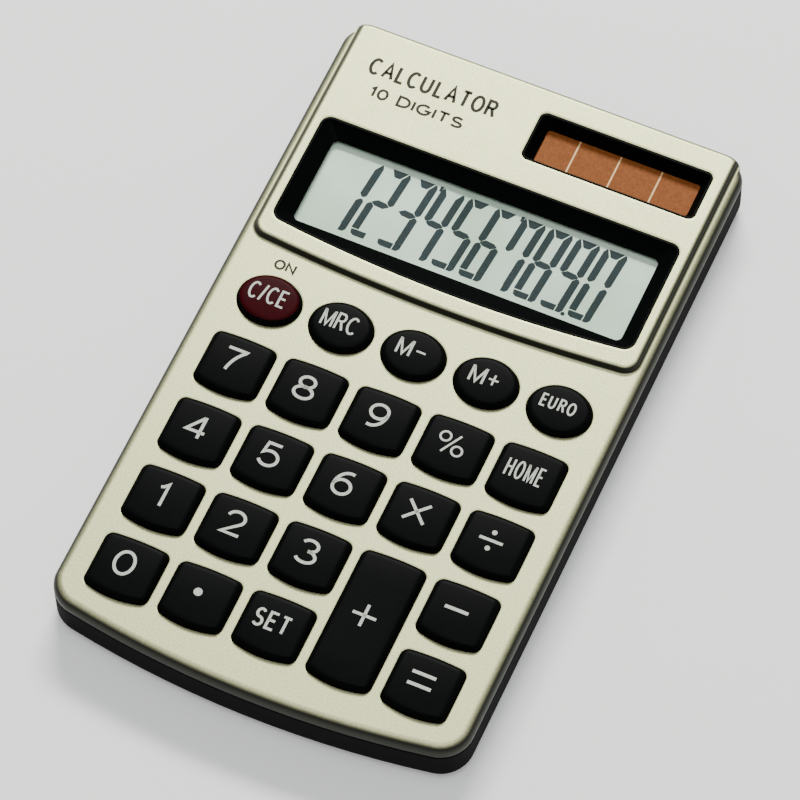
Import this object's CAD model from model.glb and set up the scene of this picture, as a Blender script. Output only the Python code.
# Slim pocket calculator: smooth shells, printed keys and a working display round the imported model
import math
import bmesh
import bpy
from mathutils import Matrix, Vector


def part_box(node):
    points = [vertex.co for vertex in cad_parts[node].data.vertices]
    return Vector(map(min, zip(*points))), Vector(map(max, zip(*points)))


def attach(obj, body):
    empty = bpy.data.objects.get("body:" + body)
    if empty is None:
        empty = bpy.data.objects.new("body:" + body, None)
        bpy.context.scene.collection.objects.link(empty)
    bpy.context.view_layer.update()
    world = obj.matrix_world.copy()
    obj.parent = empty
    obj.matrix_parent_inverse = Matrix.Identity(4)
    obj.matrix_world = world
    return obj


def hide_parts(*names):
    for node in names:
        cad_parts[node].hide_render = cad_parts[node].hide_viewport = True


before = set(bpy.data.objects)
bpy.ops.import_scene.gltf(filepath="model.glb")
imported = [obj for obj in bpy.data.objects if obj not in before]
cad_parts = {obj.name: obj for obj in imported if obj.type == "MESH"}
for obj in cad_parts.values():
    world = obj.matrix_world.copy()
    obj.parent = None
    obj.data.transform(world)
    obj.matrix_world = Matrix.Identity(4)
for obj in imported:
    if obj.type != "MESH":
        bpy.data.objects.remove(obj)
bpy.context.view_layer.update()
print("frame loaded:", len(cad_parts), "nodes")

mm = 0.001
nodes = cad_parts


def boxOf(node):
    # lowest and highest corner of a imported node, in mm
    low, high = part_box(node)
    return low / mm, high / mm


# ---- shared sizes, in mm, read from the frame where it holds them ----
plateLow, plateHigh = boxOf("front_plate")
shell = {
    "width": plateHigh.x - plateLow.x,
    "halfLength": plateHigh.y,
    "cornerTop": 4,
    "cornerLow": 5.5,
    "endBow": 175,
    "rimZ": plateLow.z,
    "panelZ": plateHigh.z,
    "panelRise": 1.1,
    "rearTop": boxOf("rear_cover")[1].z,
    "wall": 1.5,
}
fieldZ = shell["panelZ"] - shell["panelRise"]
straight = 100000  # a bow radius so large that the end is straight
keyGrid = {"column": 12.5, "row": 13.1, "topY": 5.1, "middleColumn": 2}


# ---- outlines: lists of (x, y), anticlockwise ----
def ellipsePoints(cx, cy, rx, ry, start, end, steps):
    turns = [math.radians(start + (end - start) * i / steps) for i in range(steps + 1)]
    return [(cx + rx * math.cos(a), cy + ry * math.sin(a)) for a in turns]


def arcPoints(cx, cy, r, start, end, steps):
    return ellipsePoints(cx, cy, r, r, start, end, steps)


def bowedOutline(w, low, high, rHigh, rLow, bowHigh, bowLow, inset=0, steps=10):
    # corner circles that touch both the straight sides and the bowed ends
    xHigh, xLow = w / 2 - rHigh, w / 2 - rLow
    turnHigh = math.degrees(math.asin(xHigh / (bowHigh - rHigh)))
    turnLow = math.degrees(math.asin(xLow / (bowLow - rLow)))
    centreHigh, centreLow = high - bowHigh, low + bowLow
    yHigh = centreHigh + (bowHigh - rHigh) * math.cos(math.radians(turnHigh))
    yLow = centreLow - (bowLow - rLow) * math.cos(math.radians(turnLow))
    runs = [
        (xHigh, yHigh, rHigh, 0, 90 - turnHigh, steps),
        (0, centreHigh, bowHigh, 90 - turnHigh, 90 + turnHigh, steps + 4),
        (-xHigh, yHigh, rHigh, 90 + turnHigh, 180, steps),
        (-xLow, yLow, rLow, 180, 270 - turnLow, steps),
        (0, centreLow, bowLow, 270 - turnLow, 270 + turnLow, steps + 4),
        (xLow, yLow, rLow, 270 + turnLow, 360, steps),
    ]
    points = []
    for cx, cy, r, start, end, n in runs:
        run = arcPoints(cx, cy, r - inset, start, end, n)
        points += run if not points else run[1:]
    return points


def bodyOutline(inset=0):
    h = shell["halfLength"]
    return bowedOutline(shell["width"], -h, h, shell["cornerTop"], shell["cornerLow"],
                        straight, shell["endBow"], inset)


# flare and edge are the radii at the foot and crest of the panel's step, steep its slope in degrees
panel = {"width": 66.3, "foot": 14, "corner": 2.5, "bow": 320, "edge": 0.78, "flare": 0.62,
         "steep": 78, "pastEnd": 4, "hiddenCorner": 1.5}


def panelOutline(inset=0):
    # the far end lies past the body, so that the panel runs off it
    return bowedOutline(panel["width"], panel["foot"], shell["halfLength"] + panel["pastEnd"],
                        panel["hiddenCorner"], panel["corner"], straight, panel["bow"], inset)


display = {"width": 62.7, "low": 17, "high": 40.1, "bow": 243, "cornerHigh": 1.8, "cornerLow": 2,
           "windowWidth": 57, "windowLength": 16.4, "windowY": 29.3, "windowCorner": 1,
           "depth": 2.1}
solar = {"width": 30.2, "length": 9.6, "x": 15.8, "y": 49.9, "corner": 1.3, "cellWidth": 26.7,
         "cellLength": 6.4, "cellCorner": 0.5}
frameZ = shell["panelZ"] - display["depth"]


def openingOutline(inset=0):
    return bowedOutline(display["width"], display["low"], display["high"], display["cornerHigh"],
                        display["cornerLow"], straight, display["bow"], inset)


def roundedBox(width, length, x, y, corner, inset, steps=10):
    ring = bowedOutline(width, -length / 2, length / 2, corner, corner, straight, straight, inset,
                        steps)
    return [(px + x, py + y) for px, py in ring]


def windowOutline(inset=0):
    return roundedBox(display["windowWidth"], display["windowLength"], 0, display["windowY"],
                      display["windowCorner"], inset)


def solarOutline(inset=0):
    return roundedBox(solar["width"], solar["length"], solar["x"], solar["y"], solar["corner"],
                      inset)


def cellOutline(inset=0):
    return roundedBox(solar["cellWidth"], solar["cellLength"], solar["x"], solar["y"],
                      solar["cellCorner"], inset)


# ---- solids: (points, faces) in mm ----
def loft(rings):
    # skin over rings of equal length, each (z, outline), closed at both ends
    n = len(rings[0][1])
    points = [(x, y, z) for z, ring in rings for x, y in ring]
    faces = []
    for k in range(len(rings) - 1):
        for i in range(n):
            a, b = k * n + i, k * n + (i + 1) % n
            faces.append((a, b, b + n, a + n))
    faces.append(tuple(range(n - 1, -1, -1)))
    last = (len(rings) - 1) * n
    faces.append(tuple(range(last, last + n)))
    return points, faces


def prism(outline, low, high):
    return loft([(low, outline), (high, outline)])


def block(low, high):
    outline = [(low[0], low[1]), (high[0], low[1]), (high[0], high[1]), (low[0], high[1])]
    return prism(outline, low[2], high[2])


def circle(x, y, r, steps=48):
    return arcPoints(x, y, r, 0, 360, steps)[:-1]


def rounding(z, r, steps=6):
    # (z, inset) pairs up a convex edge that ends level at height z
    turns = [math.radians(90 * i / steps) for i in range(steps + 1)]
    return [(z - r + r * math.sin(t), r * (1 - math.cos(t))) for t in turns]


def gather(solids):
    # separate solids as one
    points, faces = [], []
    for p, f in solids:
        start = len(points)
        points += p
        faces += [tuple(i + start for i in face) for face in f]
    return points, faces


def newObject(name, solid):
    mesh = bpy.data.meshes.new(name)
    points, faces = solid
    mesh.from_pydata([(x * mm, y * mm, z * mm) for x, y, z in points], [], faces)
    mesh.update()
    obj = bpy.data.objects.new(name, mesh)
    bpy.context.scene.collection.objects.link(obj)
    return obj


def combine(obj, solids, operation):
    # joins, cuts or intersects obj with each solid in turn, and keeps the result as its mesh
    tools = [newObject("tool", solid) for solid in solids]
    for tool in tools:
        step = obj.modifiers.new("combine", "BOOLEAN")
        step.operation = operation
        step.solver = "MANIFOLD"
        step.object = tool
    graph = bpy.context.evaluated_depsgraph_get()
    made = bpy.data.meshes.new_from_object(obj.evaluated_get(graph))
    obj.modifiers.clear()
    old = obj.data
    obj.data = made
    bpy.data.meshes.remove(old)
    for tool in tools:
        mesh = tool.data
        bpy.data.objects.remove(tool)
        bpy.data.meshes.remove(mesh)
    return obj


def asSolid(obj):
    # takes an object apart again, for use as a tool
    points = [tuple(v.co / mm) for v in obj.data.vertices]
    faces = [tuple(p.vertices) for p in obj.data.polygons]
    mesh = obj.data
    bpy.data.objects.remove(obj)
    bpy.data.meshes.remove(mesh)
    return points, faces


smoothUpTo = 32  # degrees between faces that still shade as one surface


def finishPiece(obj, body, material, replaced=()):
    # smooth shading that breaks at real edges, with flat areas kept flat
    mesh = obj.data
    mesh.materials.clear()
    for item in material if isinstance(material, list) else [material]:
        mesh.materials.append(item)
    mesh.polygons.foreach_set("use_smooth", [True] * len(mesh.polygons))
    mesh.set_sharp_from_angle(angle=math.radians(smoothUpTo))
    weighted = obj.modifiers.new("weighted normals", "WEIGHTED_NORMAL")
    weighted.keep_sharp = True
    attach(obj, body)
    if replaced:
        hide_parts(*replaced)


# ---- materials ----
def linear(code):
    # sRGB hex to the linear colour that shaders take
    values = [int(code[i:i + 2], 16) / 255 for i in (1, 3, 5)]
    return [v / 12.92 if v <= 0.04045 else ((v + 0.055) / 1.055) ** 2.4 for v in values] + [1]


def addNode(tree, kind, settings=None, links=None):
    node = tree.nodes.new("ShaderNode" + kind)
    for key, value in (settings or {}).items():
        if isinstance(key, int) or key in node.inputs:
            node.inputs[key].default_value = value
        else:
            setattr(node, key, value)
    for key, source in (links or {}).items():
        tree.links.new(source, node.inputs[key])
    return node


def startMaterial(name, settings):
    material = bpy.data.materials.new(name)
    material.use_nodes = True
    tree = material.node_tree
    shader = tree.nodes["Principled BSDF"]
    for key, value in settings.items():
        shader.inputs[key].default_value = value
    place = addNode(tree, "TexCoord").outputs["Object"]
    return material, tree, shader, place


def perMm(size):
    # texture scale for a pattern whose grain is that many mm across
    return 1 / (size * mm)


def tint(tree, factor, dark, light, low=0.35, high=0.65):
    # colour between two tones, where factor runs from low to high
    ramp = addNode(tree, "ValToRGB", links={"Fac": factor})
    ramp.color_ramp.elements[0].position = low
    ramp.color_ramp.elements[0].color = linear(dark)
    ramp.color_ramp.elements[1].position = high
    ramp.color_ramp.elements[1].color = linear(light)
    return ramp.outputs["Color"]


def spread(tree, factor, low, high):
    # value between low and high where noise runs over its usual range
    return addNode(tree, "MapRange", {"From Min": 0.3, "From Max": 0.7, "To Min": low, "To Max": high},
                   {"Value": factor}).outputs["Result"]


def emboss(tree, shader, height, depth, strength):
    # relief of that depth in mm
    bump = addNode(tree, "Bump", {"Distance": depth * mm, "Strength": strength}, {"Height": height})
    tree.links.new(bump.outputs["Normal"], shader.inputs["Normal"])


def noise(tree, place, size, detail, roughness=0.5):
    # cloudy pattern whose grain is that many mm across
    return addNode(tree, "TexNoise", {"Scale": perMm(size), "Detail": detail,
                                      "Roughness": roughness}, {"Vector": place}).outputs["Fac"]


def colourBy(tree, shader, factor, dark, light, low=0.35, high=0.65):
    tree.links.new(tint(tree, factor, dark, light, low, high), shader.inputs["Base Color"])


def roughBy(tree, shader, factor, low, high):
    tree.links.new(spread(tree, factor, low, high), shader.inputs["Roughness"])


def turned(tree, start, end):
    # 0 where the surface stands upright, 1 where it lies flat
    facing = addNode(tree, "NewGeometry")
    split = addNode(tree, "SeparateXYZ", {}, {0: facing.outputs["Normal"]})
    return addNode(tree, "MapRange", {"From Min": start, "From Max": end,
                                      "interpolation_type": "SMOOTHSTEP"},
                   {"Value": split.outputs["Z"]}).outputs["Result"]


def satinAluminium():
    # anodised and bead-blasted aluminium: a pale champagne sheen with a fine sparkle on the flats,
    # darker where the sheet is drawn over an edge; real sheets are about 0.4 rough
    material, tree, shader, place = startMaterial("satinAluminium", {"Metallic": 0.95})
    grit = noise(tree, place, 0.3, 3, 0.7)
    cloud = noise(tree, place, 9, 2)
    flat = tint(tree, grit, "#adad82", "#c9c99f")
    drawn = addNode(tree, "Mix", {"data_type": "RGBA", "A": linear("#3a3a35")},
                    {"Factor": turned(tree, 0.72, 0.99), "B": flat})
    tree.links.new(drawn.outputs["Result"], shader.inputs["Base Color"])
    mixed = addNode(tree, "Math", {"operation": "MULTIPLY_ADD", 1: 0.35}, {0: cloud, 2: grit})
    roughBy(tree, shader, mixed.outputs[0], 0.42, 0.5)
    emboss(tree, shader, grit, 0.012, 0.5)
    return material


def mouldedAbs():
    # black ABS (IOR about 1.5) from a spark-eroded mould: dull and even, about 0.55 rough; the
    # grain traps most reflections, so a weak rough coat is all the shine it keeps
    material, tree, shader, place = startMaterial(
        "mouldedAbs", {"IOR": 1.5, "Specular IOR Level": 0.0, "Coat Weight": 0.16,
                       "Coat Roughness": 0.5})
    grain = noise(tree, place, 0.35, 2, 0.6)
    colourBy(tree, shader, grain, "#020203", "#060607")
    roughBy(tree, shader, grain, 0.5, 0.62)
    emboss(tree, shader, grain, 0.03, 0.5)
    return material


def bezelAbs():
    # black ABS (IOR about 1.5), semi-gloss, about 0.36 rough: a thin highlight along its edges
    material, tree, shader, place = startMaterial(
        "bezelAbs", {"IOR": 1.5, "Specular IOR Level": 0.0, "Coat Weight": 0.06,
                     "Coat Roughness": 0.35})
    grain = noise(tree, place, 0.25, 2)
    colourBy(tree, shader, grain, "#040505", "#080a0a")
    roughBy(tree, shader, grain, 0.32, 0.4)
    emboss(tree, shader, grain, 0.01, 0.3)
    return material


def keyPlastic(name, dark, light):
    # moulded key caps (IOR about 1.45): satin, about 0.35 rough, with a faint uneven polish
    material, tree, shader, place = startMaterial(
        name, {"IOR": 1.45, "Specular IOR Level": 0.0, "Coat Weight": 0.06,
               "Coat Roughness": 0.4})
    grain = noise(tree, place, 0.22, 2)
    rub = noise(tree, place, 6, 2)
    colourBy(tree, shader, grain, dark, light)
    roughBy(tree, shader, rub, 0.3, 0.38)
    emboss(tree, shader, grain, 0.015, 0.4)
    return material


def padPrint(name, dark, light):
    # pad-printed ink (IOR about 1.48): flat, 0.6 rough, slightly grainy where the film is thin
    material, tree, shader, place = startMaterial(
        name, {"Roughness": 0.6, "IOR": 1.48, "Specular IOR Level": 0.15})
    speck = noise(tree, place, 0.16, 2)
    colourBy(tree, shader, speck, dark, light)
    emboss(tree, shader, speck, 0.008, 0.3)
    return material


def clearSheet(name, colour, gloss):
    # cast acrylic or glass: see-through, with a faint sharp reflection; both have an IOR near
    # 1.5, and 1.3 here stands for the weaker reflection of a coated sheet
    material = bpy.data.materials.new(name)
    material.use_nodes = True
    tree = material.node_tree
    tree.nodes.remove(tree.nodes["Principled BSDF"])
    place = addNode(tree, "TexCoord").outputs["Object"]
    haze = noise(tree, place, 12, 2)
    through = addNode(tree, "BsdfTransparent", {}, {"Color": tint(tree, haze, colour, "#fdfefd")})
    shine = addNode(tree, "BsdfGlossy", {}, {"Roughness": spread(tree, haze, gloss, gloss * 1.5)})
    edge = addNode(tree, "Fresnel", {"IOR": 1.3})
    mix = addNode(tree, "MixShader", {},
                  {0: edge.outputs[0], 1: through.outputs[0], 2: shine.outputs[0]})
    tree.links.new(mix.outputs[0], tree.nodes["Material Output"].inputs["Surface"])
    return material


def displayFilm(name, dark, light, rough):
    # satin film (IOR about 1.45) over a resting display: pale grey-green, soft pearly grain
    material, tree, shader, place = startMaterial(name, {"IOR": 1.45, "Specular IOR Level": 0.3})
    grain = noise(tree, place, 0.3, 3)
    colourBy(tree, shader, grain, dark, light)
    roughBy(tree, shader, grain, rough - 0.04, rough + 0.04)
    emboss(tree, shader, grain, 0.01, 0.3)
    return material


def darkCrystal():
    # switched liquid crystal: blue-grey and flat, so rough (0.7) that nothing mirrors in it
    material, tree, shader, place = startMaterial("darkCrystal", {"Roughness": 0.7, "IOR": 1.3})
    grain = noise(tree, place, 0.4, 1)
    colourBy(tree, shader, grain, "#2b373b", "#313d42")
    return material


def amorphousSilicon():
    # thin-film silicon under matt glass: brown, slightly cloudy, 0.45 rough with little shine
    material, tree, shader, place = startMaterial(
        "amorphousSilicon", {"Roughness": 0.45, "Specular IOR Level": 0.06})
    cloud = noise(tree, place, 0.5, 4, 0.7)
    colourBy(tree, shader, cloud, "#7a431c", "#905327")
    return material


def plainCoated(name, dark, light, rough, size, depth=0.01, metal=0.0, coat=0.0):
    # one small-grained finish for plain parts: sleeves, rubber and epoxy at the default IOR, and
    # plated metal where metal is near 1; rough is the middle of its range
    material, tree, shader, place = startMaterial(name, {"Metallic": metal, "Coat Weight": coat})
    grain = noise(tree, place, size, 3)
    colourBy(tree, shader, grain, dark, light)
    roughBy(tree, shader, grain, rough - 0.05, rough + 0.05)
    emboss(tree, shader, grain, depth, 0.4)
    return material


def solderMask():
    # glossy green solder mask, 0.35 rough, with the lighter lines of copper tracks under it
    material, tree, shader, place = startMaterial("solderMask", {"Coat Weight": 0.3, "Roughness": 0.35})
    tracks = addNode(tree, "TexBrick", {"Scale": perMm(4), "Mortar Size": 0.06,
                                        "Color1": linear("#215a35"), "Color2": linear("#256039"),
                                        "Mortar": linear("#3d8450")}, {"Vector": place})
    tree.links.new(tracks.outputs["Color"], shader.inputs["Base Color"])
    emboss(tree, shader, tracks.outputs["Fac"], -0.03, 0.5)
    return material


def zebraRubber():
    # conductive and clear rubber layers in turn, 0.55 rough; real ones are about 0.1 mm thick,
    # these are wider so that they show
    material, tree, shader, place = startMaterial("zebraRubber", {"Roughness": 0.55})
    waveLength = 0.314  # at scale 1 the wave texture repeats over this length
    bands = addNode(tree, "TexWave", {"Scale": perMm(0.5) * waveLength, "bands_direction": "X"},
                    {"Vector": place})
    colourBy(tree, shader, bands.outputs["Fac"], "#1c1214", "#cf9098", 0.45, 0.55)
    return material


finish = {
    "face": satinAluminium(),
    "abs": mouldedAbs(),
    "bezel": bezelAbs(),
    "key": keyPlastic("blackKey", "#060707", "#0a0b0b"),
    "redKey": keyPlastic("redKey", "#2c0308", "#38060d"),
    "legend": padPrint("silverInk", "#b4b6ac", "#d6d8ce"),
    "print": padPrint("greyInk", "#2a2820", "#37352c"),
    "window": clearSheet("castAcrylic", "#f7faf7", 0.04),
    "glass": clearSheet("displayGlass", "#f4f8f5", 0.08),
    "display": displayFilm("displayFilm", "#e6f8e7", "#effdf0", 0.45),
    "reflector": displayFilm("reflectorFilm", "#b9c6bb", "#c6d1c8", 0.3),
    "segment": darkCrystal(),
    "silicon": amorphousSilicon(),
    "silver": plainCoated("silverPaste", "#d8a76a", "#efc88e", 0.5, 0.3),
    "steel": plainCoated("zincSteel", "#9fa1a4", "#b4b6b9", 0.32, 0.3, metal=1.0),
    "blackSteel": plainCoated("blackSteel", "#2a2b2d", "#36383a", 0.38, 0.3, metal=0.8),
    "nickel": plainCoated("nickelSteel", "#b3b4b5", "#c6c7c8", 0.25, 0.4, metal=1.0),
    "bronze": plainCoated("phosphorBronze", "#b08d49", "#c9a860", 0.3, 0.4, metal=1.0),
    "redSleeve": plainCoated("redSleeve", "#8f1c17", "#a5231e", 0.4, 0.4),
    "blackSleeve": plainCoated("blackSleeve", "#121212", "#1b1b1b", 0.4, 0.4),
    "blueSleeve": plainCoated("blueSleeve", "#1d2540", "#27315a", 0.35, 0.5),
    "epoxy": plainCoated("pottingEpoxy", "#0b0b0b", "#141414", 0.2, 1.2, 0.05, coat=0.5),
    "silicone": plainCoated("greySilicone", "#a3a39b", "#b3b3ab", 0.6, 0.5, 0.02),
    "carbon": plainCoated("carbonRubber", "#0a0a0a", "#131313", 0.75, 0.3, 0.02),
    "board": solderMask(),
    "zebra": zebraRubber(),
}
print("materials ready:", len(finish))


for name, use in {
    "upper_housing": "abs", "lcd_front_polariser": "display", "lcd_front_glass": "glass",
    "lcd_rear_glass": "glass", "lcd_reflector": "reflector", "zebra_strip": "zebra",
    "solar_wire_red": "redSleeve", "solar_wire_black": "blackSleeve", "main_board": "board",
    "chip_blob": "epoxy", "board_capacitor": "blueSleeve", "board_resistors": "epoxy",
    "board_screws": "steel", "rubber_keypad": "silicone", "carbon_pills": "carbon",
    "battery_holder": "abs", "button_cell": "nickel", "cell_contact_leaf": "bronze",
    "cell_contact_side": "bronze",
}.items():
    painted = nodes[name].data.materials
    painted.clear()
    painted.append(finish[use])


# ---- face plate ----
plate = {"thickness": 0.5, "edge": 1.6, "panelEdge": 1.0, "keyLip": 0.3, "openingLip": 0.4,
         "lipSlope": 0.22, "keyGap": 0.15, "deckStart": 0.5, "cutDepth": 2}
keyShape = {"width": 10.7, "length": 10.4, "ovalWidth": 10.6, "ovalLength": 8.8, "corner": 1.3,
            "bowLow": 16, "bowHigh": 60, "flange": 0.5, "flangeHeight": 0.7, "chamfer": 0.1,
            "neckDrop": 0.2, "shoulder": 0.95, "crown": 0.2, "apexDrop": 0.04, "spacing": 0.8,
            "wall": 1.2, "roof": 1.4, "post": 2.2, "redDepth": 0.42}
keyRows = [
    ["clear", "recall", "memory_minus", "memory_plus", "euro"],
    ["7", "8", "9", "percent", "home"],
    ["4", "5", "6", "multiply", "divide"],
    ["1", "2", "3", "plus", "minus"],
    ["0", "point", "set", "", "equals"],
]
tallKey = "plus"


def keyPlaces():
    # every key as (name, is oval, x, y, length), the tall one standing over two rows
    places = []
    for r, row in enumerate(keyRows):
        for c, name in enumerate(row):
            if name:
                extra = keyGrid["row"] if name == tallKey else 0
                length = keyShape["ovalLength"] if r == 0 else keyShape["length"] + extra
                x = (c - keyGrid["middleColumn"]) * keyGrid["column"]
                y = keyGrid["topY"] - r * keyGrid["row"] - extra / 2
                places.append((name, r == 0, x, y, length))
    return places


def keyWidth(oval):
    return keyShape["ovalWidth"] if oval else keyShape["width"]


def keyOutline(oval, x, y, length, inset=0):
    w = keyWidth(oval)
    if oval:
        ring = ellipsePoints(0, 0, w / 2 - inset, length / 2 - inset, 0, 360, 72)[:-1]
    else:
        ring = bowedOutline(w, -length / 2, length / 2, keyShape["corner"],
                            keyShape["corner"], keyShape["bowHigh"], keyShape["bowLow"], inset, 8)
    return [(px + x, py + y) for px, py in ring]


def flaredCut(outline, low, top, lip):
    # a cutter whose hole has a punched edge, pulled down gently over the width of the lip
    return loft([(low, outline(0)), (top - lip * plate["lipSlope"], outline(0)),
                 (top, outline(-lip)), (top + 1, outline(-lip))])


def roundedBody(low, top, edge):
    # the body's outline up to height top, with a rounded upper edge
    rings = [(low, bodyOutline())]
    rings += [(z, bodyOutline(inset)) for z, inset in rounding(top, edge, 8)]
    return loft(rings)


def panelDeck(low, top):
    # the raised panel: its step is an S of two arcs that meet at the steepest slope
    flare, crest, steep = panel["flare"], panel["edge"], math.radians(panel["steep"])
    rings = [(low, panelOutline(-flare * math.sin(steep)))]
    for i in range(7):
        a = steep * i / 6
        inset = flare * (math.sin(a) - math.sin(steep))
        rings.append((fieldZ + flare * (1 - math.cos(a)), panelOutline(inset)))
    for i in range(7, -1, -1):
        a = steep * i / 8
        inset = crest * (math.sin(steep) - math.sin(a))
        rings.append((top - crest * (1 - math.cos(a)), panelOutline(inset)))
    return loft(rings)


def buildPlate():
    thickness, top = plate["thickness"], shell["panelZ"]
    field = newObject("facePlate", roundedBody(shell["rimZ"], fieldZ, plate["edge"]))
    low = shell["rimZ"] + plate["deckStart"]
    deck = newObject("deck", panelDeck(low, top))
    combine(deck, [roundedBody(low, top, plate["panelEdge"])], "INTERSECT")
    combine(field, [asSolid(deck)], "UNION")
    # the sheet is hollow underneath, also below the panel
    floorZ = fieldZ - plate["cutDepth"]
    under = newObject("under", prism(panelOutline(thickness), floorZ, top - thickness))
    combine(under, [prism(bodyOutline(thickness), floorZ - 1, top + 1)], "INTERSECT")
    cuts = [prism(bodyOutline(thickness), shell["rimZ"] - 1, fieldZ - thickness), asSolid(under)]
    holes = []
    for name, *place in keyPlaces():
        holes.append(flaredCut(lambda inset: keyOutline(*place, inset - plate["keyGap"]),
                               floorZ, fieldZ, plate["keyLip"]))
    cuts.append(gather(holes))
    for outline in (openingOutline, solarOutline):
        cuts.append(flaredCut(outline, floorZ, top, plate["openingLip"]))
    combine(field, cuts, "DIFFERENCE")
    finishPiece(field, "body", finish["face"], ["front_plate"])
    print("face plate:", len(field.data.polygons), "faces")


buildPlate()


# ---- keys ----
keyBottom, keyTop = (corner.z for corner in boxOf("key_7"))


def capHeight(px, py, w, length):
    # the crowned top of a cap, px and py from its middle
    short = min(length, keyShape["length"])
    reach = max(abs(py) - (length - short) / 2, 0)
    fall = (px / (w / 2)) ** 2 + (reach / (short / 2)) ** 2
    return keyTop - keyShape["apexDrop"] - keyShape["crown"] * fall


def buildKey(name, oval, x, y, length):
    w = keyWidth(oval)
    r = keyShape["shoulder"]
    flange, chamfer = keyShape["flange"], keyShape["chamfer"]
    flangeTop = keyBottom + keyShape["flangeHeight"]
    points, rings = [], []
    corners = keyOutline(oval, x, y, length)
    counts = [max(1, round(math.dist(a, b) / keyShape["spacing"]))
              for a, b in zip(corners, corners[1:] + corners[:1])]

    def outlineAt(inset):
        # the same number of points at every inset, also along the straight sides
        ends = keyOutline(oval, x, y, length, inset)
        dense = []
        for (ax, ay), (bx, by), count in zip(ends, ends[1:] + ends[:1], counts):
            dense += [(ax + (bx - ax) * k / count, ay + (by - ay) * k / count)
                      for k in range(count)]
        return dense

    def ring(outline, heights):
        rings.append(range(len(points), len(points) + len(outline)))
        points.extend((px, py, h) for (px, py), h in zip(outline, heights))

    def level(inset, z):
        outline = outlineAt(inset)
        ring(outline, [z] * len(outline))

    level(-flange, keyBottom)
    level(-flange, flangeTop - chamfer)
    level(-flange + chamfer, flangeTop)
    level(0, flangeTop)
    level(0, fieldZ - keyShape["neckDrop"])
    steps = 8
    for i in range(steps + 1):
        a = math.radians(90 * i / steps)
        outline, drop = outlineAt(r * (1 - math.cos(a))), r * (1 - math.sin(a))
        ring(outline, [capHeight(px - x, py - y, w, length) - drop for px, py in outline])
    inner = outlineAt(r)
    spine = (length - w) / 2 if name == tallKey else 0  # the tall cap closes on a line, not a point
    for share in (0.92, 0.8, 0.65, 0.48, 0.3, 0.12):
        outline = []
        for px, py in inner:
            cy = y + max(-spine, min(spine, py - y))
            outline.append((x + (px - x) * share, cy + (py - cy) * share))
        ring(outline, [capHeight(px - x, py - y, w, length) for px, py in outline])
    faces = []
    n = len(rings[0])
    for a, b in zip(rings, rings[1:]):
        for i in range(n):
            j = (i + 1) % n
            faces.append((a[i], a[j], b[j], b[i]))
    faces.append(tuple(reversed(rings[0])))
    faces.append(tuple(rings[-1]))
    cap = newObject("keyCap_" + name, (points, faces))
    hollow = newObject("hollow", prism(keyOutline(oval, x, y, length, keyShape["wall"]),
                                       keyBottom - 1, keyTop - keyShape["roof"]))
    combine(hollow, [prism(circle(x, y, keyShape["post"]), keyBottom, keyTop)], "DIFFERENCE")
    combine(cap, [asSolid(hollow)], "DIFFERENCE")
    node = "key_" + name
    if name == "clear":
        # red on top, with the dark of the moulding showing round its side
        finishPiece(cap, node, [finish["key"], finish["redKey"]], [node])
        for face in cap.data.polygons:
            low = min(cap.data.vertices[v].co.z for v in face.vertices) / mm
            face.material_index = 1 if low > keyTop - keyShape["redDepth"] else 0
    else:
        finishPiece(cap, node, finish["key"], [node])


for place in keyPlaces():
    buildKey(*place)
print("keys ready")


# ---- lettering: each glyph is (width, strokes) on a cell one unit high ----
def bend(cx, cy, rx, ry, start, end):
    return ellipsePoints(cx, cy, rx, ry, start, end, max(4, round(abs(end - start) / 11)))


def sweepCurve(a, b, c, steps=8):
    points = []
    for i in range(steps + 1):
        t = i / steps
        u, v, w = (1 - t) ** 2, 2 * t * (1 - t), t * t
        points.append((u * a[0] + v * b[0] + w * c[0], u * a[1] + v * b[1] + w * c[1]))
    return points


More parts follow.
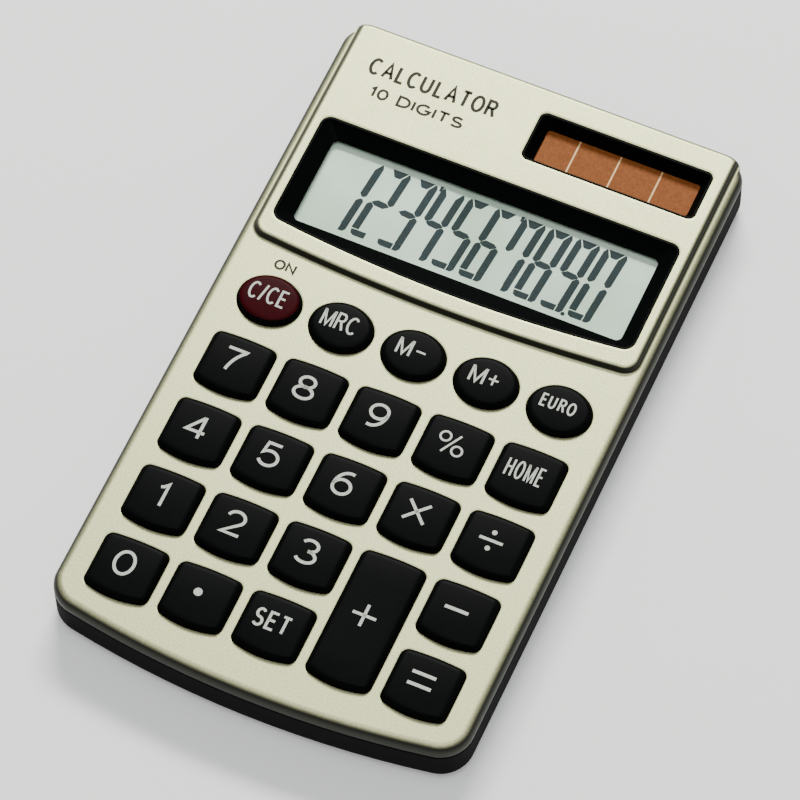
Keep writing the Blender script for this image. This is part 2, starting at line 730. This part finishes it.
six = [bend(0.37, 0.32, 0.35, 0.32, 0, 360), bend(0.53, 0.36, 0.51, 0.64, 180, 76)]
glyphs = {
    "0": (0.74, [bend(0.37, 0.5, 0.37, 0.5, 0, 360)]),
    "1": (0.30, [[(0, 0.8), (0.12, 0.84), (0.28, 1.0), (0.28, 0)]]),
    "2": (0.72, [bend(0.36, 0.70, 0.33, 0.30, 168, -40) + [(0.02, 0.0), (0.72, 0.0)]]),
    "3": (0.72, [bend(0.35, 0.75, 0.31, 0.25, 155, -90), bend(0.35, 0.26, 0.37, 0.26, 90, -155)]),
    "4": (0.78, [[(0.58, 0), (0.58, 1)], [(0.56, 0.97), (0.0, 0.28), (0.78, 0.28)]]),
    "5": (0.74, [[(0.66, 1), (0.14, 1)] + bend(0.36, 0.33, 0.37, 0.33, 142, -155)]),
    "6": (0.74, six),
    "7": (0.74, [[(0, 1), (0.74, 1)] + sweepCurve((0.72, 0.96), (0.34, 0.6), (0.24, 0))]),
    "8": (0.74, [bend(0.37, 0.755, 0.30, 0.245, 0, 360), bend(0.37, 0.265, 0.37, 0.265, 0, 360)]),
    "9": (0.74, [[(0.74 - px, 1 - py) for px, py in path] for path in six]),
    "A": (0.76, [[(0, 0), (0.38, 1), (0.76, 0)], [(0.13, 0.34), (0.63, 0.34)]]),
    "C": (0.74, [bend(0.40, 0.5, 0.40, 0.5, 48, 312)]),
    "D": (0.70, [[(0, 0), (0, 1), (0.30, 1)] + bend(0.30, 0.5, 0.40, 0.5, 80, -80)
                 + [(0.30, 0), (0, 0)]]),
    "E": (0.58, [[(0.58, 1), (0, 1), (0, 0), (0.58, 0)], [(0, 0.52), (0.52, 0.52)]]),
    "G": (0.80, [bend(0.40, 0.5, 0.40, 0.5, 48, 330) + [(0.79, 0.46), (0.46, 0.46)]]),
    "H": (0.70, [[(0, 0), (0, 1)], [(0.70, 0), (0.70, 1)], [(0, 0.52), (0.70, 0.52)]]),
    "I": (0.0, [[(0, 0), (0, 1)]]),
    "L": (0.54, [[(0, 1), (0, 0), (0.54, 0)]]),
    "M": (0.90, [[(0, 0), (0, 1)], [(0.90, 0), (0.90, 1)],
                 [(0.02, 0.97), (0.45, 0.04), (0.88, 0.97)]]),
    "N": (0.70, [[(0, 0), (0, 1), (0.70, 0), (0.70, 1)]]),
    "O": (0.80, [bend(0.40, 0.5, 0.40, 0.5, 0, 360)]),
    "R": (0.66, [[(0, 0), (0, 1), (0.36, 1)] + bend(0.36, 0.76, 0.26, 0.24, 75, -75)
                 + [(0.36, 0.52), (0, 0.52)], [(0.36, 0.52), (0.66, 0)]]),
    "S": (0.62, [bend(0.31, 0.75, 0.28, 0.25, 30, 262) + bend(0.31, 0.25, 0.31, 0.25, 82, -150)]),
    "T": (0.62, [[(0, 1), (0.62, 1)], [(0.31, 1), (0.31, 0)]]),
    "U": (0.78, [[(0, 1)] + bend(0.34, 0.34, 0.34, 0.34, 180, 360) + [(0.68, 1)]]),
    "X": (0.74, [[(0, 0), (0.74, 1)], [(0, 1), (0.74, 0)]]),
    "/": (0.34, [[(0, -0.04), (0.34, 1.04)]]),
    "%": (1.02, [bend(0.20, 0.76, 0.20, 0.23, 0, 360), bend(0.82, 0.24, 0.20, 0.23, 0, 360),
                 [(0.76, 1), (0.26, 0)]]),
    "+": (0.66, [[(0, 0.48), (0.66, 0.48)], [(0.33, 0.15), (0.33, 0.81)]]),
    "-": (0.66, [[(0, 0.48), (0.66, 0.48)]]),
}


def ribbon(path, width, closed):
    # a flat stroke of that width along path, one unit thick, with mitred corners
    n = len(path)
    sides = []
    for i, (px, py) in enumerate(path):
        before = path[i - 1] if i or closed else None
        after = path[(i + 1) % n] if i < n - 1 or closed else None
        runs = []
        for a, b in ((before, (px, py)), ((px, py), after)):
            if a and b:
                d = Vector((b[0] - a[0], b[1] - a[1])).normalized()
                runs.append(Vector((-d.y, d.x)))
        normal = (runs[0] + runs[-1]).normalized()
        reach = width / 2 / max(normal.dot(runs[0]), 0.45)
        sides.append((px + normal.x * reach, py + normal.y * reach,
                      px - normal.x * reach, py - normal.y * reach))
    points, faces = [], []
    for lx, ly, rx, ry in sides:
        points += [(lx, ly, 0), (rx, ry, 0), (rx, ry, 1), (lx, ly, 1)]
    for i in range(n if closed else n - 1):
        a, b = i * 4, (i + 1) % n * 4
        for k in range(4):
            m = (k + 1) % 4
            faces.append((a + k, a + m, b + m, b + k))
    if not closed:
        faces.append((3, 2, 1, 0))
        faces.append(tuple(range((n - 1) * 4, n * 4)))
    return points, faces


def lineStrokes(text, width, height, stroke, gap):
    # the strokes of a line of text, centred on the origin, as closed solids
    cell = height - stroke
    total = sum(glyphs[c][0] for c in text)
    stretch = (width - stroke - gap * (len(text) - 1)) / (total * cell) if total else 1
    pen = -(width - stroke) / 2
    solids = []
    for c in text:
        advance, paths = glyphs[c]
        for path in paths:
            placed = [(pen + px * cell * stretch, (py - 0.5) * cell) for px, py in path]
            closed = math.dist(placed[0], placed[-1]) < 0.001
            weight = stroke * (signWeight if c in "+-" else 1)
            solids.append(ribbon(placed[:-1] if closed else placed, weight, closed))
        pen += advance * cell * stretch + gap
    return solids


# ink films in mm: the crowned caps need small faces, the flat plate only one cut in 50 mm
ink = {"legend": 0.015, "plate": 0.01, "sunk": 0.05, "grid": 0.45, "flatGrid": 50}


def inkPiece(name, solids, x, y, surface, thickness, body, material, grid):
    # joins the strokes, cuts them into small faces and lays them on the surface
    base = newObject(name, solids[0])
    if len(solids) > 1:
        combine(base, solids[1:], "UNION")
    bm = bmesh.new()
    bm.from_mesh(base.data)
    spanX = [v.co.x / mm for v in bm.verts]
    spanY = [v.co.y / mm for v in bm.verts]
    for axis, span in ((0, spanX), (1, spanY)):
        normal = (1, 0, 0) if axis == 0 else (0, 1, 0)
        cut = math.ceil(min(span) / grid)
        while cut * grid < max(span):
            spot = [c * cut * grid * mm for c in normal]
            bmesh.ops.bisect_plane(bm, geom=bm.verts[:] + bm.edges[:] + bm.faces[:],
                                   plane_co=spot, plane_no=normal)
            cut += 1
    for v in bm.verts:
        px, py = v.co.x / mm, v.co.y / mm
        rise = thickness if v.co.z > mm / 2 else -ink["sunk"]
        v.co = Vector((px + x, py + y, surface(px, py) + rise)) * mm
    bm.normal_update()
    bm.to_mesh(base.data)
    bm.free()
    finishPiece(base, body, material)


legendShift = (-0.35, 0.4)
signWeight = 0.8  # a plus or minus in a word has thinner strokes
legends = {
    # key: (text, width, height, stroke, gap)
    "clear": ("C/CE", 6.5, 3.2, 0.37, 0.6),
    "recall": ("MRC", 6.1, 3.3, 0.37, 0.66),
    "memory_minus": ("M-", 5.0, 3.3, 0.4, 0.95),
    "memory_plus": ("M+", 5.0, 3.3, 0.4, 0.8),
    "euro": ("EURO", 5.9, 2.4, 0.33, 0.62),
    "percent": ("%", 4.7, 4.0, 0.34, 0),
    "home": ("HOME", 6.3, 3.4, 0.34, 0.68),
    "multiply": ("X", 4.0, 4.0, 0.5, 0),
    "set": ("SET", 5.9, 3.3, 0.44, 0.85),
}
digitSize = {"width": 3.6, "oneWidth": 1.7, "height": 4.5, "stroke": 0.52}
sign = {"length": 3.9, "stroke": 0.56, "thin": 0.5, "point": 0.7, "equalsY": 1.02,
        "divideY": 1.45, "divideDot": 0.42}


def legendStrokes(name):
    reach = sign["length"] / 2

    def bar(y, width):
        return ribbon([(-reach, y), (reach, y)], width, False)

    def disc(y, r):
        return prism(circle(0, y, r, 28), 0, 1)

    if name in legends:
        return lineStrokes(*legends[name])
    if name.isdigit():
        width = digitSize["oneWidth"] if name == "1" else digitSize["width"]
        return lineStrokes(name, width, digitSize["height"], digitSize["stroke"], 0)
    if name == "point":
        return [disc(0, sign["point"])]
    if name == "plus":
        return [bar(0, sign["thin"]), ribbon([(0, -reach), (0, reach)], sign["thin"], False)]
    if name == "minus":
        return [bar(0, sign["stroke"])]
    if name == "equals":
        return [bar(y, sign["stroke"]) for y in (-sign["equalsY"], sign["equalsY"])]
    dots = [disc(y, sign["divideDot"]) for y in (sign["divideY"], -sign["divideY"])]
    return [bar(0, sign["thin"])] + dots


for name, oval, x, y, length in keyPlaces():
    w = keyWidth(oval)
    dx, dy = legendShift
    inkPiece("legend_" + name, legendStrokes(name), x + dx, y + dy,
             lambda px, py: capHeight(px + dx, py + dy, w, length), ink["legend"],
             "key_" + name, finish["legend"], ink["grid"])
panelWords = [
    # name, words, width, height, stroke, gap, x, y and level
    ("printTitle", "CALCULATOR", 22.5, 3.4, 0.56, 0.84, -17.3, 51.7, shell["panelZ"]),
    ("printDigits", "10 DIGITS", 16.5, 2.2, 0.46, 0.75, -18.3, 47.1, shell["panelZ"]),
    ("printOn", "ON", 3.7, 1.9, 0.4, 0.5, -25.4, 11.9, fieldZ),
]
firstShare, wordSpace = 0.2, 1.6


def wordPair(first, second, width, height, stroke, gap):
    # two words on a line: the first takes its share of the width, the second what is left
    solids = []
    firstWidth = width * firstShare
    secondWidth = width - firstWidth - wordSpace
    for word, span, centre in ((first, firstWidth, -width / 2 + firstWidth / 2),
                               (second, secondWidth, width / 2 - secondWidth / 2)):
        for points, faces in lineStrokes(word, span, height, stroke, gap):
            solids.append(([(px + centre, py, pz) for px, py, pz in points], faces))
    return solids


for name, text, width, height, stroke, gap, x, y, z in panelWords:
    words = text.split()
    build = wordPair if len(words) == 2 else lineStrokes
    inkPiece(name, build(*words, width, height, stroke, gap), x, y, lambda px, py: z,
             ink["plate"], "body", finish["print"], ink["flatGrid"])
print("lettering ready")


# ---- display: bezel, window and segments ----
# flange is the ring under the face plate, wall the thickness at the top, lip its rounded edge
bezel = {"drop": 0.12, "flange": 0.4, "flangeHeight": 0.85, "gap": 0.1, "wall": 0.5, "lip": 0.3,
         "holeChamfer": 0.1}


def buildBezel(name, opening, hole, node):
    # a frame round the opening whose inner wall slopes down to the hole
    low = boxOf(node)[0].z
    top = shell["panelZ"] - bezel["drop"]
    lip, wall, gap = bezel["lip"], bezel["wall"], bezel["gap"]
    flangeTop = low + bezel["flangeHeight"]
    rings = [(low, opening(-bezel["flange"])), (flangeTop, opening(-bezel["flange"])),
             (flangeTop, opening(gap)), (top - 0.15, opening(gap)),
             (top - 0.04, opening(gap + 0.04)), (top, opening(gap + 0.15))]
    rim = newObject(name, loft(rings))
    funnel = [(low - 1, hole(0)), (frameZ - 0.08, hole(0)), (frameZ, hole(-bezel["holeChamfer"])),
              (top - lip, opening(wall + lip * 0.15)), (top - lip * 0.4, opening(wall)),
              (top - lip * 0.1, opening(wall - 0.08)), (top + 0.001, opening(wall - 0.2)),
              (top + 1, opening(wall - 0.2))]
    combine(rim, [loft(funnel)], "DIFFERENCE")
    finishPiece(rim, "body", finish["bezel"], [node])


windowLow, windowHigh = boxOf("display_window")
cellLow, cellHigh = boxOf("solar_cell")
buildBezel("displayBezel", openingOutline, windowOutline, "display_bezel")
buildBezel("solarBezel", solarOutline, cellOutline, "solar_bezel")


def paneRings(low, high, soften, corner=0.6):
    # a flat pane that fills the box, with softened edges
    middle = (low + high) / 2

    def outline(inset):
        return roundedBox(high.x - low.x, high.y - low.y, middle.x, middle.y, corner, inset, 4)

    return [(low.z, outline(soften)), (low.z + soften, outline(0)), (high.z - soften, outline(0)),
            (high.z, outline(soften))]


pane = newObject("windowPane", loft(paneRings(windowLow, windowHigh, 0.08)))
finishPiece(pane, "body", finish["window"], ["display_window"])

segment = {"pitch": 4.73, "last": 20.95, "width": 4.1, "height": 14, "stroke": 1.25, "gap": 0.08,
           "slant": 4.7, "y": 29.7, "cut": 0.62, "slope": 1.02, "sunk": 0.02, "raised": 0.012}
decimalPoint = {"x": 17.95, "y": 22.75, "radius": 0.36}
thousandsMarks = {"x": (-9.3, 4.9), "drop": 0.9, "rise": 0.1, "foot": 0.35, "head": 0.62}
litSegments = {
    "0": "abcdef", "1": "bc", "2": "abged", "3": "abgcd", "4": "fgbc", "5": "afgcd",
    "6": "afgedc", "7": "fabc", "8": "abcdefg", "9": "gfabcd",
}


def segmentOutline(kind):
    # one bar of a seven-bar digit, as an outline about the digit's middle; the bars meet at
    # slanted gaps, and the outer corners are cut off
    x, y = segment["width"] / 2, segment["height"] / 2
    t, g, cut, slope = (segment[k] for k in ("stroke", "gap", "cut", "slope"))
    upright = [(x, y - cut - 0.1), (x - cut + 0.28, y - g), (x - cut + 0.05, y - 0.06 - g),
               (x - t, y - t * slope - g), (x - t, t * 0.55 + g), (x - t * 0.6, 0.12 + g),
               (x - t * 0.3, 0.12 + g), (x, t * 0.4 + g)]
    shapes = {
        "a": [(-x + cut + g, y), (-x + t + 0.12 + g, y - t), (-x + t + 0.4, y - t * 1.12),
              (x - t - 0.4, y - t * 1.12), (x - t - 0.12 - g, y - t), (x - cut - g, y)],
        "g": [(-x + t * 0.35 + g, 0), (-x + t, -t * 0.42), (x - t - 0.1, -t * 0.52),
              (x - t * 0.35 - g, 0), (x - t, t * 0.42), (-x + t + 0.1, t * 0.52)],
        "d": [(-x + 0.1, -y + t * 0.85), (-x + 0.35, -y + 0.3), (-x + 0.9, -y), (x - t - g, -y),
              (x - t - g, -y + t - g), (-x + 0.35, -y + t - g)],
        "b": upright,
        "c": [(x, -y + 0.5), (x - 0.4, -y), (x - t + g, -y), (x - t + g, -y + t), (x - t, -y + t),
              (x - t, -t * 0.55 - g), (x - t * 0.6, -0.12 - g), (x - t * 0.3, -0.12 - g),
              (x, -t * 0.4 - g)],
        "e": [(-x, -y + t + 0.12), (-x + 0.2, -y + t + g), (-x + t, -y + t + g),
              (-x + t, -t * 0.55 - g), (-x + t * 0.6, -0.12 - g), (-x + t * 0.3, -0.12 - g),
              (-x, -t * 0.4 - g)],
    }
    shapes["f"] = [(-px, py) for px, py in upright]
    corners = shapes[kind]
    lean = math.tan(math.radians(segment["slant"]))
    outline = [(px + py * lean, py) for px, py in corners]
    area = sum(a[0] * b[1] - b[0] * a[1] for a, b in zip(outline, outline[1:] + outline[:1]))
    return outline if area > 0 else outline[::-1]


filmTop = boxOf("lcd_front_polariser")[1].z
inkLow, inkHigh = filmTop - segment["sunk"], filmTop + segment["raised"]
bars = []
shown = "1234567890"
for i, digit in enumerate(shown):
    x = segment["last"] - segment["pitch"] * (len(shown) - 1 - i)
    for kind in litSegments[digit]:
        outline = [(px + x, py + segment["y"]) for px, py in segmentOutline(kind)]
        bars.append(prism(outline, inkLow, inkHigh))
dot = circle(decimalPoint["x"], decimalPoint["y"], decimalPoint["radius"], 20)
bars.append(prism(dot, inkLow, inkHigh))
headY = segment["y"] + segment["height"] / 2
markLow, markHigh = headY - thousandsMarks["drop"], headY + thousandsMarks["rise"]
for x in thousandsMarks["x"]:
    mark = [(x, markLow), (x + thousandsMarks["foot"], markLow),
            (x + thousandsMarks["head"], markHigh), (x, markHigh)]
    bars.append(prism(mark, inkLow, inkHigh))
digits = newObject("displaySegments", gather(bars))
finishPiece(digits, "body", finish["segment"])
print("display ready")


# ---- solar cell ----
seams = {"middle": -0.5, "pitch": 7.17, "width": 0.3, "margin": 0.3, "pastEnd": 1.2,
         "film": 0.075, "drop": 0.005, "backingDrop": 0.06}
backingHigh = cellHigh - Vector((0, 0, seams["backingDrop"]))
backing = newObject("solarBacking", loft(paneRings(cellLow, backingHigh, 0.05)))
finishPiece(backing, "body", finish["silver"], ["solar_cell"])
strips = []
reach = solar["cellWidth"] / 2 + seams["pastEnd"]
filmHigh = cellHigh.z - seams["drop"]
edges = [-reach] + [seams["middle"] + seams["pitch"] * i for i in (-1, 0, 1)] + [reach]
for start, end in zip(edges, edges[1:]):
    left = solar["x"] + start + seams["width"] / 2
    right = solar["x"] + end - seams["width"] / 2
    strips.append(block((left, cellLow.y + seams["margin"], filmHigh - seams["film"]),
                        (right, cellHigh.y - seams["margin"], filmHigh)))
film = newObject("solarFilm", gather(strips))
finishPiece(film, "body", finish["silicon"])


# ---- rear cover, battery door and screws ----
back = {"edge": 2.25, "floor": 1.2, "lip": 0.25, "boss": 2.7, "bossLow": 0.6, "bossHigh": 3.4}
snap = {"x": 33.4, "ys": (-42, -12), "depth": 0.8, "reach": 3, "low": 6.1, "high": 6.6}
door = {"width": 20, "x": -17, "lowY": 42.5, "highZ": 3.4, "gap": 0.15, "z": 0.1, "thickness": 0.9,
        "tongue": 0.8, "tongueZ": 0.6, "tongueT": 0.6, "tongueEnd": 3.4, "rail": 0.6,
        "railLow": 0.5, "ridges": 7, "ridgeY": 50.2, "ridgePitch": 0.9, "ridgeHalf": 0.42,
        "ridgeDepth": 0.28, "ridgeReach": 5}
screw = {"head": 1.9, "shank": 0.95, "seat": 2.2, "well": 2.1, "wellMouth": 2.35, "hole": 1.15}
screwBox = boxOf("rear_screws")
screwX = screwBox[1].x - screw["head"]
screwYs = (screwBox[0].y + screw["head"], screwBox[1].y - screw["head"])
screwPlaces = [(side * screwX, y) for side in (-1, 1) for y in screwYs]


def envelope():
    # the whole lower body: rounded at the back, with a small lip where it meets the frame
    r, lip = back["edge"], back["lip"]
    rings = []
    for i in range(13):
        a = math.radians(90 * i / 12)
        rings.append((r * (1 - math.cos(a)), bodyOutline(r * (1 - math.sin(a)))))
    rings += [(z, bodyOutline(inset)) for z, inset in rounding(shell["rearTop"], lip, 4)]
    return loft(rings)


def turnedSolid(x, y, rings):
    # a round solid on an upright axis, each ring (z, radius)
    return loft([(z, circle(x, y, r, 64)) for z, r in rings])


def buildRear():
    half = shell["halfLength"]
    top = shell["rearTop"]
    reach = door["width"] / 2 + door["tongue"]
    cover = newObject("rearShell", envelope())
    combine(cover, [prism(bodyOutline(shell["wall"]), back["floor"], top + 1)], "DIFFERENCE")
    # a thicker floor round the door carries its rails
    rail = newObject("rail", block(
        (door["x"] - reach - 1, door["lowY"] - 1.2, door["railLow"]),
        (door["x"] + reach + 1, half - 0.7, back["floor"] + door["rail"])))
    combine(rail, [prism(bodyOutline(shell["wall"] - 0.3), 0.4, top)], "INTERSECT")
    bosses = [turnedSolid(x, y, [(back["bossLow"], back["boss"]), (back["bossHigh"], back["boss"])])
              for x, y in screwPlaces]
    snaps = [block((side * snap["x"] - snap["depth"], y - snap["reach"], snap["low"]),
                   (side * snap["x"] + snap["depth"], y + snap["reach"], snap["high"]))
             for side in (-1, 1) for y in snap["ys"]]
    combine(cover, [asSolid(rail)] + bosses + snaps, "UNION")
    cuts = []
    mouth, well, seat, hole = (screw[k] for k in ("wellMouth", "well", "seat", "hole"))
    for x, y in screwPlaces:
        cuts.append(turnedSolid(x, y, [(-1, mouth), (0, mouth), (0.2, well), (seat, well)]))
        cuts.append(turnedSolid(x, y, [(seat - 0.2, hole), (5, hole)]))
    w = door["width"] / 2
    cuts.append(block((door["x"] - w, door["lowY"], -1), (door["x"] + w, half + 1, door["highZ"])))
    gap = door["gap"]
    cuts.append(block((door["x"] - reach - gap, door["lowY"] + 1 - gap, door["tongueZ"] - gap),
                      (door["x"] + reach + gap, half + 1, door["tongueZ"] + door["tongueT"] + gap)))
    combine(cover, cuts, "DIFFERENCE")
    finishPiece(cover, "body", finish["abs"], ["rear_cover"])


def buildDoor():
    half = shell["halfLength"]
    w, gap = door["width"] / 2, door["gap"]
    reach = w + door["tongue"]
    flap = newObject("doorFlap", envelope())
    slab = block((door["x"] - w + gap, door["lowY"] + gap, door["z"]),
                 (door["x"] + w - gap, half + 1, door["highZ"] - gap))
    combine(flap, [slab], "INTERSECT")
    tongues = block((door["x"] - reach, door["lowY"] + 1, door["tongueZ"]),
                    (door["x"] + reach, half - door["tongueEnd"],
                     door["tongueZ"] + door["tongueT"]))
    combine(flap, [tongues], "UNION")
    cuts = [prism(bodyOutline(shell["wall"] + 0.1), door["z"] + door["thickness"], shell["rearTop"])]
    ends = (door["x"] - door["ridgeReach"], door["x"] + door["ridgeReach"])
    mouthZ, bottomZ = door["z"] - 0.2, door["z"] + door["ridgeDepth"]
    for i in range(door["ridges"]):
        # a V groove across the door, for the thumb
        y = door["ridgeY"] + door["ridgePitch"] * i
        groove = [(y - door["ridgeHalf"], mouthZ), (y, bottomZ), (y + door["ridgeHalf"], mouthZ)]
        points = [(x, py, pz) for x in ends for py, pz in groove]
        cuts.append((points, [(0, 1, 2), (5, 4, 3), (0, 3, 4, 1), (1, 4, 5, 2), (2, 5, 3, 0)]))
    combine(flap, cuts, "DIFFERENCE")
    finishPiece(flap, "battery_door", finish["abs"], ["battery_door"])


def buildScrews():
    # pan heads with a tapered cross recess, facing down
    headLow, tip = screwBox[0].z, screwBox[1].z
    seat, r, shank = screw["seat"], screw["head"], screw["shank"]
    profile = [(headLow, r - 0.8), (headLow + 0.08, r - 0.45), (headLow + 0.3, r - 0.15),
               (headLow + 0.6, r - 0.02), (seat - 0.1, r), (seat, r - 0.05),
               (seat + 0.001, shank), (tip - 0.5, shank), (tip, 0.5)]
    solids = []
    for x, y in screwPlaces:
        head = newObject("screw", turnedSolid(x, y, profile))
        cross = []
        for turn in (45, 135):
            c, s = math.cos(math.radians(turn)), math.sin(math.radians(turn))
            points = []
            for z, along, wide in ((headLow - 0.2, 1.2, 0.27), (headLow + 0.75, 0.45, 0.16)):
                for u, v in ((-along, -wide), (along, -wide), (along, wide), (-along, wide)):
                    points.append((x + u * c - v * s, y + u * s + v * c, z))
            cross.append((points, [(3, 2, 1, 0), (4, 5, 6, 7), (0, 1, 5, 4), (1, 2, 6, 5),
                                   (2, 3, 7, 6), (3, 0, 4, 7)]))
        combine(head, cross, "DIFFERENCE")
        solids.append(asSolid(head))
    screws = newObject("coverScrews", gather(solids))
    finishPiece(screws, "body", finish["blackSteel"], ["rear_screws"])


buildRear()
buildDoor()
buildScrews()
print("back ready")

# ---- floor, lights and camera ----
reach = 3  # metres from the middle to each side of the floor
floorMesh = bpy.data.meshes.new("floor")
floorMesh.from_pydata([(-reach, -reach, 0), (reach, -reach, 0), (reach, reach, 0),
                       (-reach, reach, 0)], [], [(0, 1, 2, 3)])
floor = bpy.data.objects.new("floor", floorMesh)
bpy.context.scene.collection.objects.link(floor)
# matt white board, 0.9 rough; a little light of its own keeps it pale under soft lamps
paleFloor = startMaterial("paleFloor", {
    "Roughness": 0.9, "Base Color": linear("#f8f8f6"), "Emission Color": linear("#ffffff"),
    "Emission Strength": 0.25})[0]
floorMesh.materials.append(paleFloor)

world = bpy.data.worlds.new("studio")
bpy.context.scene.world = world
world.use_nodes = True
sky = world.node_tree.nodes["Background"]
sky.inputs["Color"].default_value = linear("#f4f6f8")
sky.inputs["Strength"].default_value = 0.36


def direction(azimuth, elevation):
    # unit vector from the calculator, in degrees; azimuth 0 is at its lower end
    a, e = math.radians(azimuth), math.radians(elevation)
    return Vector((math.sin(a) * math.cos(e), -math.cos(a) * math.cos(e), math.sin(e)))


def softbox(name, azimuth, elevation, distance, size, power, colour):
    # an area light that looks at the calculator, in metres and watts
    light = bpy.data.lights.new(name, "AREA")
    light.shape = "RECTANGLE"
    light.size, light.size_y = size
    light.energy = power
    light.color = linear(colour)[:3]
    obj = bpy.data.objects.new(name, light)
    bpy.context.scene.collection.objects.link(obj)
    away = direction(azimuth, elevation)
    obj.location = away * distance
    obj.rotation_mode = "QUATERNION"
    obj.rotation_quaternion = away.to_track_quat("Z", "Y")


# the first is low behind the far end, where the flat metal mirrors it; the second fills from above
softbox("topSoftbox", 197, 43, 1.1, (0.5, 0.18), 17.5, "#fbfff8")
softbox("overheadSoftbox", 20, 82, 1.0, (0.5, 0.5), 3.5, "#f8fbff")

# angles in degrees, distance and aim in mm on the model, lens and sensor in mm of the camera
view = {"azimuth": 25.8, "elevation": 60.49, "roll": 1.85, "distance": 791.6,
        "aim": (1.46, -3.30, 10.2), "lens": 227.6, "sensor": 36}
camera = bpy.data.cameras.new("camera")
camera.lens = view["lens"]
camera.sensor_width = view["sensor"]
camera.clip_end = 10
cameraObject = bpy.data.objects.new("camera", camera)
bpy.context.scene.collection.objects.link(cameraObject)
backward = direction(view["azimuth"], view["elevation"])
cameraObject.location = (Vector(view["aim"]) + backward * view["distance"]) * mm
turn = backward.to_track_quat("Z", "Y").to_matrix().to_4x4()
roll = Matrix.Rotation(-math.radians(view["roll"]), 4, "Z")
cameraObject.rotation_mode = "QUATERNION"
cameraObject.rotation_quaternion = (turn @ roll).to_quaternion()
bpy.context.scene.camera = cameraObject
